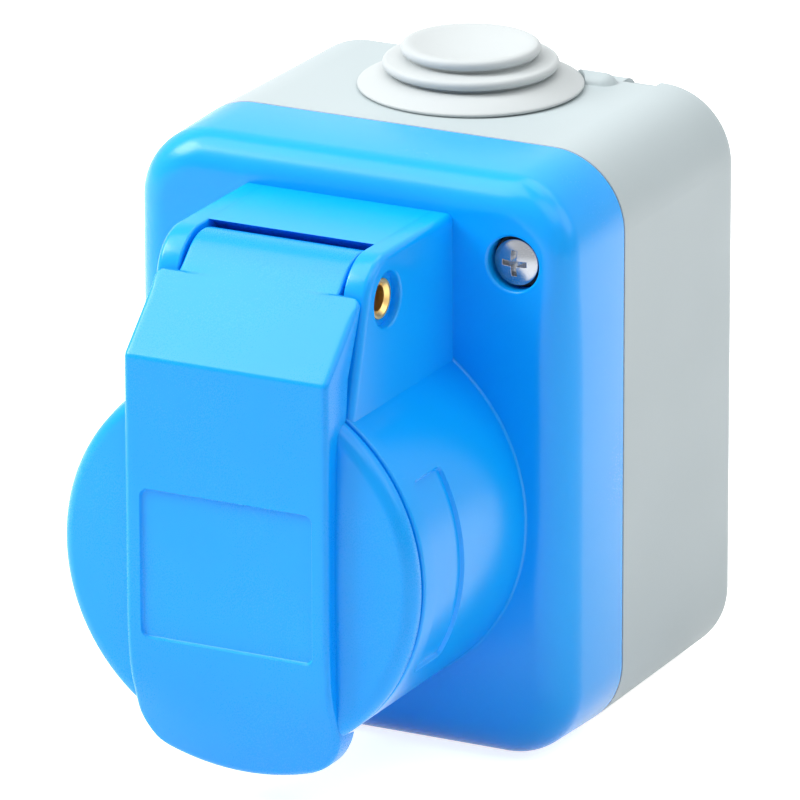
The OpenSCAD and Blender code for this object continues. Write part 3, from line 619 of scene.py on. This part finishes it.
ear = soft_outline([(BLOCK_BACK, BLOCK_LOW), (CHIN_F, BLOCK_LOW), (front_at(EAR_LOW), EAR_LOW),
                    (front_at(BLOCK_TOP), BLOCK_TOP), (BLOCK_BACK, BLOCK_TOP)],
                   [EAR_CORNER, EAR_CORNER, EAR_CORNER, NOSE_R, EAR_CORNER], steps=20)
seat_x = BLOCK_HALF - PIN_SEAT_DEPTH
seat_r = PIN_SEAT_R + PIN_SEAT_ROUND
ear_hole = np.concatenate([
    [[PIN_HOLE_R, SLOT_HALF], [PIN_HOLE_R, seat_x], [PIN_SEAT_R, seat_x]],
    arc((seat_r, BLOCK_HALF - PIN_SEAT_ROUND), PIN_SEAT_ROUND, 180.0, 90.0, steps=6),
    [[seat_r + FLAT_RIM, BLOCK_HALF]]])
ears = soft_slab(ear, SLOT_HALF, BLOCK_HALF, SLOT_ROUND, EAR_ROUND, (HINGE, ear_hole))
ears += [(points * [-1, 1, 1], faces) for points, faces in ears]

pocket_low = HINGE[1] - POCKET_R
pocket_back = np.sqrt(POCKET_R**2 - (BLOCK_TOP - HINGE[1])**2)
pocket_top = np.degrees(np.arccos(-pocket_back / POCKET_R))
middle = np.concatenate([
    [[BLOCK_BACK, CORE_LOW], [front_at(CORE_LOW) - CORE_BACK, CORE_LOW],
     [front_at(pocket_low), pocket_low]],
    arc(HINGE, POCKET_R, 270.0, pocket_top, steps=40), [[BLOCK_BACK, BLOCK_TOP]]])
middle[:, 1] -= CORE_DROP
core_half = SLOT_HALF + CORE_OVER
block = ears + soft_slab(middle, -core_half, core_half, 0.0, 0.0, steps=2)
make_piece("hinge_block_body", block, cover_blue, "housing", "blue_plastic", "hinge_block")

# %% [markdown]
# ## Lid
# The lid is a round plate with a soft rim and a very shallow cone, with a broad strap in front. The
# plate is another turned profile. The ring groove in its back holds the seal, which shows when
# the lid is open. A closed lid hangs a little low on its pin, so the rim sags by a hair, and it is
# a hair taller than it is wide, so that no slit shows between its lower edge and the tab.

# %% Lid disc
LID_R, LID_BACK, LID_EDGE_F, LID_ROUND, CROWN = 29.7, 92.7, 95.9, 2.4, 1.8
LID_HOLLOW_R, LID_HOLLOW_F, GROOVE, GROOVE_F = 22.0, 93.7, (24.2, 27.8), 94.1
BACK_ROUND, ROUND_END_DEG = 0.4, 86.0
LID_SAG, LID_TALL, RIM_BLEND = 0.2, 0.35, (28.0, 29.0)

cone_r = np.array([20.0, 10.0, 0.0])
cone_f = LID_EDGE_F + CROWN * (1 - cone_r / (LID_R - LID_ROUND))
disc = np.concatenate([
    [[0.0, LID_HOLLOW_F], [LID_HOLLOW_R, LID_HOLLOW_F], [LID_HOLLOW_R, LID_BACK],
     [GROOVE[0], LID_BACK], [GROOVE[0], GROOVE_F], [GROOVE[1], GROOVE_F], [GROOVE[1], LID_BACK]],
    arc((LID_R - BACK_ROUND, LID_BACK + BACK_ROUND), BACK_ROUND, 270.0, 360.0, steps=6),
    arc((LID_R - LID_ROUND, LID_EDGE_F - LID_ROUND), LID_ROUND, 0.0, ROUND_END_DEG, steps=16),
    np.stack([cone_r, cone_f], axis=-1)])
turn = np.radians(np.arange(0.0, 360.0, 2.0))
at_rim = smooth_step(*RIM_BLEND, disc[:, :1])
disc_z = COLLAR_Z + (LID_TALL * np.sin(turn) - LID_SAG) * at_rim
lid_parts = [grid_patch(world(disc[:, :1] * np.cos(turn), disc[:, 1:],
                              disc_z + disc[:, :1] * np.sin(turn)), wrap_cols=True)]
print("lid disc", len(disc), "profile points")

# %% [markdown]
# The strap is a rounded rectangle carried along a path: up from the finger tab in a slight bow,
# straight past the bare label field, over the crease, along the slope, and round the hinge barrel.
# Each step of the path has a front point, a back point and a half width. The slope touches the
# barrel, so its direction follows from the crease, the pin and the barrel's radius. The steps lie
# close together at the tab's end and at the borders of the label field.

# %% Strap path
STRAP_F, BOW_R, BOW_Z = 99.0, 70.0, -15.0
TAB_Z, TAB_R, TAB_END, TAB_TURN = -40.8, 5.2, 1.0, 0.65
CREASE, CREASE_R, CREASE_NEAR = np.array([STRAP_F, 24.5]), 1.3, 1.4
BARREL_R, BARREL_WRAP = 6.7, np.radians(205.0)
SHOULDER_BACK, SHOULDER_R, DROP_RUN = 3.75, 1.7, 0.02
LABEL_Z, LABEL_NEAR = (-19.7, 3.85), 1.6
TAB_ROWS, BEND_ROWS, NECK_ROWS = 7, 9, 4
SQUARE = 0.001

gap = CREASE - HINGE
slope_turn = np.arctan2(gap[1], gap[0]) + np.arccos(BARREL_R / np.hypot(*gap))
slope_out = np.array([np.cos(slope_turn), np.sin(slope_turn)])
tangent = HINGE + BARREL_R * slope_out
slope_along = (tangent - CREASE) / np.linalg.norm(tangent - CREASE)
shoulder = tangent - SHOULDER_BACK * slope_along

tab_turn = np.linspace(0.0, np.pi / 2, TAB_ROWS)
label_rows = [z + np.linspace(-LABEL_NEAR, LABEL_NEAR, 33) for z in LABEL_Z]
front_z = np.unique(np.concatenate([
    TAB_Z + TAB_END * (1 - np.cos(tab_turn)),
    TAB_Z + TAB_R * (1 - np.cos(np.linspace(TAB_TURN, np.pi / 2, 14))),
    np.linspace(TAB_Z + TAB_R, CREASE[1] - CREASE_NEAR, 44), *label_rows]))
below = np.maximum(BOW_Z - front_z, 0.0)
front_f = STRAP_F - BOW_R + np.sqrt(BOW_R**2 - below**2)
bend = soft_outline([(STRAP_F, 0.0), CREASE, tangent], [SQUARE, CREASE_R, SQUARE], BEND_ROWS)
bend = bend[BEND_ROWS:2 * BEND_ROWS]
corner_run = SHOULDER_R * np.cos(np.linspace(0.0, np.pi / 2, 10))[:, None]
wrap = np.linspace(slope_turn, BARREL_WRAP, 26)[:, None]
wrap_out = np.concatenate([np.cos(wrap), np.sin(wrap)], axis=1)
path_front = np.concatenate([
    np.stack([front_f, front_z], axis=-1), bend,
    np.linspace(bend[-1], shoulder - SHOULDER_R * slope_along, 9)[1:-1],
    shoulder - corner_run * slope_along,
    np.linspace(shoulder + DROP_RUN * slope_along, tangent, NECK_ROWS + 1)[:-1],
    HINGE + BARREL_R * wrap_out])
narrow = len(path_front) - len(wrap) - NECK_ROWS
print("strap path", len(path_front), "steps, slope", round(float(np.degrees(slope_turn)), 1), "deg")

# %% [markdown]
# The back points follow what lies behind the strap: the tab hooks under the rim, the middle is
# sunk in the lid's plate, and the upper part runs beside the ears' sloping front, with a gap that
# widens upwards. Round the barrel the strap is a thin skin.

# %% Strap back
TAB_BACK, TAB_LIP_TOP, TAB_LIP_STEP = 90.2, -35.4, 0.3
SUNK_F, SUNK_TOP = 94.4, 15.5
EAR_NEAR, EAR_GAP = 23.6, np.array([0.3, 1.5])
TIP, SKIN = 0.55, 0.8

run = np.concatenate([[0.0], np.cumsum(np.linalg.norm(np.diff(path_front, axis=0), axis=1))])
level = len(front_z)
tip = shoulder - TIP * slope_out
key_z = np.array([TAB_Z, TAB_LIP_TOP, TAB_LIP_TOP + TAB_LIP_STEP, SUNK_TOP,
                  EAR_LOW, EAR_NEAR, tip[1]])
key_run = np.concatenate([np.interp(key_z[:5], front_z, run[:level]),
                          [run[level + BEND_ROWS // 2], run[narrow - 1]]])
ear_f = front_at(key_z[4:6]) + EAR_GAP
key_f = np.array([TAB_BACK, TAB_BACK, SUNK_F, SUNK_F, *ear_f, tip[0]])
path_back = np.stack([np.interp(run, key_run, key_f), np.interp(run, key_run, key_z)], axis=-1)
skin_out = np.concatenate([np.repeat(slope_out[None], NECK_ROWS, axis=0), wrap_out])
path_back[narrow:] = path_front[narrow:] - SKIN * skin_out
print("strap back from", path_back[0].round(2), "to", path_back[narrow - 1].round(2))

# %% [markdown]
# The corners of the tab come from the half width, which follows a circle near the lower end, and
# so do the corners of the two shoulders. Behind the shoulders the half width drops, because only
# the barrel fits between the ears. At the tab's lower end the whole outline also shrinks, so that
# its edge is round.

# %% Strap width
STRAP_HALF, BARREL_HALF = 17.1, 13.35

height = np.clip(path_front[:, 1] - TAB_Z, 0.0, TAB_R)
half_width = STRAP_HALF - TAB_R + np.sqrt(TAB_R**2 - (TAB_R - height)**2)
to_end = np.clip(run[narrow - 1] - run, 0.0, SHOULDER_R)
half_width -= SHOULDER_R - np.sqrt(SHOULDER_R**2 - (SHOULDER_R - to_end)**2)
half_width[narrow:] = BARREL_HALF
inset = np.zeros(len(path_front))
inset[:TAB_ROWS] = TAB_END * (1 - np.sin(tab_turn))
print("strap at the shoulders", round(float(half_width[narrow - 1]), 2), "mm from the middle")

# %% [markdown]
# A step's outline runs across the front, round one edge, along the back and round the other edge.
# A curve with a bevel object could sweep one outline along the path, but the edge rounds have to
# shrink where the strap gets thin. So each column of the grid has a share of the half width and a
# direction in the edge's round. The columns lie close together at the label field's borders.

# %% Strap columns
STRAP_EDGE = 0.95
FIELD_OUT, FIELD_CLOSE, FIELD_IN = (-15.55, -15.2), (-14.9, -12.9), -12.0
FRONT_COLS, BACK_COLS = 7, 4

field_x = np.concatenate([FIELD_OUT, np.linspace(*FIELD_CLOSE, 21), np.linspace(FIELD_IN, 0.0, 6)])
field_x = np.concatenate([field_x, -field_x[-2::-1]]) / (STRAP_HALF - STRAP_EDGE)
quarter = np.linspace(0.0, np.pi / 2, FRONT_COLS)
lean_back = np.linspace(0.0, -np.pi / 2, BACK_COLS)
back_x = np.linspace(1.0, -1.0, 27)[1:-1]
beside = np.ones(FRONT_COLS + BACK_COLS)
side_x = np.concatenate([field_x, beside, back_x, -beside])
round_x = np.concatenate([np.zeros(len(field_x)), np.sin(quarter), np.cos(lean_back),
                          0 * back_x, -np.cos(lean_back[::-1]), -np.sin(quarter[::-1])])
round_up = np.concatenate([np.ones(len(field_x)), np.cos(quarter), np.sin(lean_back),
                           -np.ones(len(back_x)), np.sin(lean_back[::-1]), np.cos(quarter[::-1])])
column = np.arange(len(side_x))
flat_front = column < len(field_x)
is_front = (column < len(field_x) + FRONT_COLS) | (column >= len(side_x) - FRONT_COLS)
print("strap outline", len(side_x), "columns")

# %% [markdown]
# The surface combines steps and columns: across from the half width, and forward from the back
# point by the thickness. An edge round never exceeds what the thickness allows. The label field is
# sunk by its depth times a soft step of the distance to its border.

# %% Strap surface
FRONT_SHARE, BACK_EDGE, BACK_SHARE, SKIN_EDGE = 0.45, 0.35, 0.3, 0.45
LABEL_HALF, LABEL_DEPTH, LABEL_CORNER, LABEL_BORDER = 14.4, 0.5, 1.3, (0.12, -0.18)

depth_line = path_front - path_back
thick = np.linalg.norm(depth_line, axis=1, keepdims=True)
toward = depth_line / thick
thick = thick - 2 * inset[:, None]
half = (half_width - inset)[:, None]
front_round = np.minimum(STRAP_EDGE, FRONT_SHARE * thick)
front_round[narrow:] = SKIN_EDGE
back_round = np.minimum(BACK_EDGE, BACK_SHARE * thick)
edge = np.where(is_front, front_round, back_round)
x = side_x * (half - edge) + edge * round_x
up = np.where(is_front, thick - edge, edge) + edge * round_up
label = inside_field(x, path_front[:, 1:] - np.mean(LABEL_Z), LABEL_HALF,
                     (LABEL_Z[1] - LABEL_Z[0]) / 2, LABEL_CORNER)
up = up - LABEL_DEPTH * smooth_step(*LABEL_BORDER, label) * flat_front
start = path_back + toward * inset[:, None]
f = start[:, :1] + toward[:, :1] * up
z = start[:, 1:] + toward[:, 1:] * up
print("strap is", round(float(thick[level // 2, 0]), 2), "mm thick at half height")

# %% [markdown]
# Three changes finish the strap. The tab's lower end is bowed: each point rises by the sag of a
# wide circle, which fades out above the tab. Over the collar's rim the strap keeps a small gap. And
# the shoulders are kept as far from the pin as the ears' top needs when the lid stands open.

# %% Bow and gaps
TAB_BOW_R, BOW_FADE, COLLAR_GAP, SWING_GAP = 39.0, (4.0, 18.0), 0.35, 0.2
EAR_BLEND, PIN_BELOW, KEEP_SHARE, KEEP_FROM = (9.0, 11.5), 1.0, 0.15, 0.5

fade = smooth_step(TAB_Z + BOW_FADE[1], TAB_Z + BOW_FADE[0], z)
z = z + fade * (TAB_BOW_R - np.sqrt(TAB_BOW_R**2 - x**2))
over_rim = np.hypot(x, z - COLLAR_Z) < COLLAR_R + COLLAR_GAP
f = np.where(over_rim, np.maximum(f, RIM_F + COLLAR_GAP), f)
clear_f = HINGE[0] + NOSE_R + SWING_GAP
kept_f = clear_f + KEEP_SHARE * (f - clear_f + KEEP_FROM)
over_ears = smooth_step(*EAR_BLEND, np.abs(x)) * (z > HINGE[1] - PIN_BELOW)
over_ears[narrow + 1:] = 0.0
f = f + over_ears * np.maximum(kept_f - f, 0.0)
strap = world(x, f, z)
lid_parts.append(grid_patch(strap, wrap_cols=True))
lid_parts += [(strap[k], [list(range(strap.shape[1]))]) for k in (0, -1)]
print("strap", strap.shape[0], "by", strap.shape[1], "points")

# %% [markdown]
# The barrel fills the strap's upper end: a short tube on the hinge pin, with soft ends, a hair
# smaller than the strap's skin round it. A cylinder primitive has no hole and no soft ends, so it
# is a soft outline turned about the pin.

# %% Barrel and lid piece
BARREL_BORE, BARREL_SOFT, BARREL_FLARE = 3.15, 0.4, 0.45
BARREL_UNDER, BARREL_SHORT = 0.03, 0.02


def tube_about_pin(inner, outer, half, soft, flare=0.0, steps=96):
    """A soft section between two radii and two ends, turned about the hinge axis. Towards both
    ends the hole widens by flare, over the same length."""
    section = soft_outline([(-half, inner + flare), (flare - half, inner), (half - flare, inner),
                            (half, inner + flare), (half, outer), (-half, outer)], soft, 6)
    spin = np.linspace(0.0, 2 * np.pi, steps, endpoint=False)
    across, radius = section[:, :1], section[:, 1:]
    return grid_patch(world(across, HINGE[0] + radius * np.cos(spin),
                            HINGE[1] + radius * np.sin(spin)), wrap_rows=True, wrap_cols=True)


lid_parts.append(tube_about_pin(BARREL_BORE, BARREL_R - BARREL_UNDER, BARREL_HALF - BARREL_SHORT,
                                BARREL_SOFT, BARREL_FLARE))
make_piece("lid_shell", lid_parts, lid_blue, "lid_body", "lid_plastic", "lid")

# %% [markdown]
# ## Brass hinge pin
# The pin is a plain brass tube, set a little below the faces of the ears. The same turned section
# makes it. Its hole is flared at the ends, and the flare catches a bright crescent of light, so it
# is real geometry and not only a soft edge in the finish.

# %% Hinge pin
PIN_BORE, PIN_R, PIN_HALF, PIN_SOFT, PIN_FLARE = 2.0, 3.1, 16.7, 0.1, 0.6
pin = tube_about_pin(PIN_BORE, PIN_R, PIN_HALF, PIN_SOFT, PIN_FLARE)
make_piece("hinge_tube", [pin], brass, "housing", "brass", "hinge_pin")

# %% [markdown]
# ## Cable grommet
# The grommet on top is soft and stepped, so that it can be cut to the cable's size: a low skirt,
# two rings with round rims and dark gaps below them, and a dished top. It is one profile turned
# about the upright axis. A Screw modifier could turn it too. As an array, each ring is one arc, and
# the dish is part of a ball. All heights are above the top of the box.

# %% Grommet profile
HOLLOW_R, HOLLOW_TOP, PLUG_R, PLUG_LOW = 8.0, 3.9, 9.5, -4.1
SNAP_R, SNAP_TOP, FLANGE_R = 12.0, -2.62, 17.2
HEM_Z, HEM_R = 0.35, 0.3
SKIRT_R, SKIRT_IN, SKIRT_LOW, SKIRT_RISE = 17.1, 4.7, 0.75, 1.65
LOW_GAP, LOW_RING, LOW_RING_R = (12.3, 2.75), (12.85, 3.68), 0.78
TOP_LEDGE, TOP_GAP, TOP_NECK = (10.9, 4.62), (9.9, 4.75), (9.85, 5.1)
TOP_RING, TOP_RING_R = (9.98, 6.05), 0.84
DISH_R, DISH_DEPTH, DISH_TOP = 9.5, 1.6, 6.9

ball = (DISH_R**2 + DISH_DEPTH**2) / (2 * DISH_DEPTH)
dish_r = np.linspace(DISH_R, 0.0, 12)
dish = np.stack([dish_r, DISH_TOP - DISH_DEPTH + ball - np.sqrt(ball**2 - dish_r**2)], axis=-1)
share = np.linspace(0.0, 1.0, 12)
skirt = np.stack([SKIRT_R - SKIRT_IN * share,
                  SKIRT_LOW + SKIRT_RISE * np.sin(share * np.pi / 2)], axis=-1)
profile = np.concatenate([
    [[0.0, HOLLOW_TOP], [HOLLOW_R, HOLLOW_TOP], [HOLLOW_R, PLUG_LOW], [SNAP_R, PLUG_LOW],
     [SNAP_R, SNAP_TOP], [PLUG_R, SNAP_TOP], [PLUG_R, 0.0], [FLANGE_R, 0.0]],
    arc((FLANGE_R, HEM_Z), HEM_R, 270.0, 410.0, steps=7), skirt,
    [LOW_GAP], arc(LOW_RING, LOW_RING_R, 250.0, 450.0, steps=14),
    [TOP_LEDGE, TOP_GAP, TOP_NECK], arc(TOP_RING, TOP_RING_R, 265.0, 440.0, steps=14), dish])
print("grommet", len(profile), "profile points")

# %% [markdown]
# The profile turns about an upright axis through the top of the box. It starts and ends on that
# axis, so the surface is closed.

# %% Grommet
GROMMET_F, TOP_Z = 17.7, 46.5
turn = np.radians(np.arange(0.0, 360.0, 2.5))
grommet = world(profile[:, :1] * np.cos(turn), GROMMET_F + profile[:, :1] * np.sin(turn),
                TOP_Z + profile[:, 1:])
make_piece("grommet_steps", [grid_patch(grommet, wrap_cols=True)], grommet_white,
           "housing", "grommet_elastomer", "cable_grommet")

# %% [markdown]
# ## Pieces that keep their exact solids
# The box, the screws, the seals and everything behind the lid have the right shape already. They
# keep their solids and get finishes. The box's edges are softened by the Bevel node in its finish.

# %% Finishes on the CAD nodes
KEPT = {
    box_grey: ["back_box"],
    # the screw seals show black in the gap round each screw head: a seal and painted shade
    black_seals_and_gap_shade: ["cover_gasket", "screw_seals", "lid_gasket"],
    steel: ["cover_screws", "carrier_screws", "terminal_screws", "lid_spring", "live_spring",
            "neutral_spring", "earth_spring"],
    brass: ["thread_inserts", "live_contact", "neutral_contact", "earth_contact"],
    carrier_dark: ["contact_carrier", "carrier_shell", "carrier_face", "terminal_carrier"],
    cover_blue: ["cover_posts"],
}
for finish, names in KEPT.items():
    for name in names:
        mesh = frame["nodes"][name].data
        mesh.materials.clear()
        mesh.materials.append(finish)
print("kept nodes", sum(map(len, KEPT.values())))

# %% [markdown]
# ## Floor
# The photograph shows the socket on plain white. The floor is one large square at the height of
# the socket's lowest point, as a plane primitive would be. It takes the soft shadow. For camera and
# mirror rays it also glows, which lifts its pale grey to white but throws no light on the socket.

# %% Floor
FLOOR_SIZE, FLOOR_GREY, FLOOR_ROUGH, FLOOR_LIFT = 6.0, 0.86, 0.9, 0.82
WHITE = (1.0, 1.0, 1.0, 1.0)


def math_node(tree, operation, first, second):
    """The result of a Math node on two values, each a number or a socket."""
    node = tree.nodes.new("ShaderNodeMath")
    node.operation = operation
    feed(tree, first, node.inputs[0])
    feed(tree, second, node.inputs[1])
    return node.outputs["Value"]


floor_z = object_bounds()[0].z
half_floor = FLOOR_SIZE / 2
ground = bpy.data.meshes.new("studio_floor")
ground.from_pydata([(-half_floor, -half_floor, floor_z), (half_floor, -half_floor, floor_z),
                    (half_floor, half_floor, floor_z), (-half_floor, half_floor, floor_z)],
                   [], [(0, 1, 2, 3)])
floor = bpy.data.objects.new("studio_floor", ground)
bpy.context.scene.collection.objects.link(floor)

floor_white = bpy.data.materials.new("floor_white")
floor_white.use_nodes = True
tree = floor_white.node_tree
paint = tree.nodes["Principled BSDF"]
paint.inputs["Base Color"].default_value = (FLOOR_GREY, FLOOR_GREY, FLOOR_GREY, 1.0)
paint.inputs["Roughness"].default_value = FLOOR_ROUGH
paint.inputs["Specular IOR Level"].default_value = 0.0
paint.inputs["Emission Color"].default_value = WHITE
rays = tree.nodes.new("ShaderNodeLightPath").outputs
shown = math_node(tree, "MAXIMUM", rays["Is Camera Ray"], rays["Is Glossy Ray"])
tree.links.new(math_node(tree, "MULTIPLY", shown, FLOOR_LIFT), paint.inputs["Emission Strength"])
ground.materials.append(floor_white)
print("floor at", round(floor_z * 1000, 1), "mm")

# %% [markdown]
# ## World
# A white wall behind the socket would also light it. So the white comes from the world, for the
# rays of the camera, of mirrors and of glass only. All other rays meet a dim level that just fills
# the shadows.

# %% World
FILL_LEVEL = 0.17
world_light = bpy.data.worlds.new("studio_white")
bpy.context.scene.world = world_light
world_light.use_nodes = True
tree = world_light.node_tree
sky = tree.nodes["Background"]
sky.inputs["Color"].default_value = WHITE
rays = tree.nodes.new("ShaderNodeLightPath").outputs
clear = rays["Is Camera Ray"]
for kind in ("Is Glossy Ray", "Is Transmission Ray"):
    clear = math_node(tree, "MAXIMUM", clear, rays[kind])
level_node = tree.nodes.new("ShaderNodeMapRange")
level_node.inputs["To Min"].default_value = FILL_LEVEL
level_node.inputs["To Max"].default_value = 1.0
tree.links.new(clear, level_node.inputs["Value"])
tree.links.new(level_node.outputs["Result"], sky.inputs["Strength"])
print("world fills shadows at", FILL_LEVEL)

# %% [markdown]
# ## Lamps
# Large soft lamps draw the long highlights on the round edges: a strong one from the left, two
# from above and two weak ones from the right. Small lamps or a sun would leave hard spots on the
# glossy blue. All of them face one point in the middle of the socket.

# %% Lamps
SOCKET_MIDDLE = (0.0, -0.05, 0.0)
LAMPS = {
    "key_left": ((-0.94, -0.50, 0.84), 0.6, 15.0),
    "top_soft": ((-0.35, -0.28, 1.0), 0.8, 7.0),
    "top_back": ((0.1, 0.35, 0.9), 0.6, 2.5),
    "right_soft": ((0.62, -0.35, 0.95), 0.6, 2.4),
    "right_back": ((0.8, 0.2, 0.6), 0.6, 2.6),
}


def soft_lamp(name, place, size, watts):
    """A square area lamp at a place, turned so that it faces the socket's middle."""
    data = bpy.data.lights.new(name, "AREA")
    data.shape = "RECTANGLE"
    data.size, data.size_y = size, size
    data.energy = watts
    lamp = bpy.data.objects.new(name, data)
    lamp.location = place
    toward_middle = Vector(SOCKET_MIDDLE) - Vector(place)
    lamp.rotation_euler = toward_middle.to_track_quat("-Z", "Y").to_euler()
    bpy.context.scene.collection.objects.link(lamp)


for name, (place, size, watts) in LAMPS.items():
    soft_lamp(name, place, size, watts)
print("lamps", len(LAMPS))

# %% [markdown]
# ## Camera
# The camera stands to the right of the socket and above it, as in the photograph. It stands far off
# with a long lens, because the photograph's long edges hardly run together. A target to look at
# would do, but a turn, a rise and a roll can each be set by themselves.

# %% Camera
CAMERA_AT = (0.70100, -1.41363, 0.52480)
CAMERA_TURN, CAMERA_RISE, CAMERA_ROLL = 27.0647, 18.7351, -0.10
SENSOR_MM, LENS_MM = 36.0, 478.05
eye = bpy.data.cameras.new("photo_eye")
eye.sensor_width = SENSOR_MM
eye.lens = LENS_MM
eye.shift_x, eye.shift_y = -0.0005, 0.0025
eye.clip_start, eye.clip_end = 0.05, 20.0
camera = bpy.data.objects.new("photo_eye", eye)
aim = (Matrix.Rotation(math.radians(CAMERA_TURN), 4, "Z")
       @ Matrix.Rotation(math.radians(90.0 - CAMERA_RISE), 4, "X")
       @ Matrix.Rotation(math.radians(CAMERA_ROLL), 4, "Z"))
camera.matrix_world = Matrix.Translation(CAMERA_AT) @ aim
bpy.context.scene.collection.objects.link(camera)
bpy.context.scene.camera = camera
bpy.context.scene.view_settings.view_transform = "Standard"
print("camera", [round(v, 3) for v in camera.location])
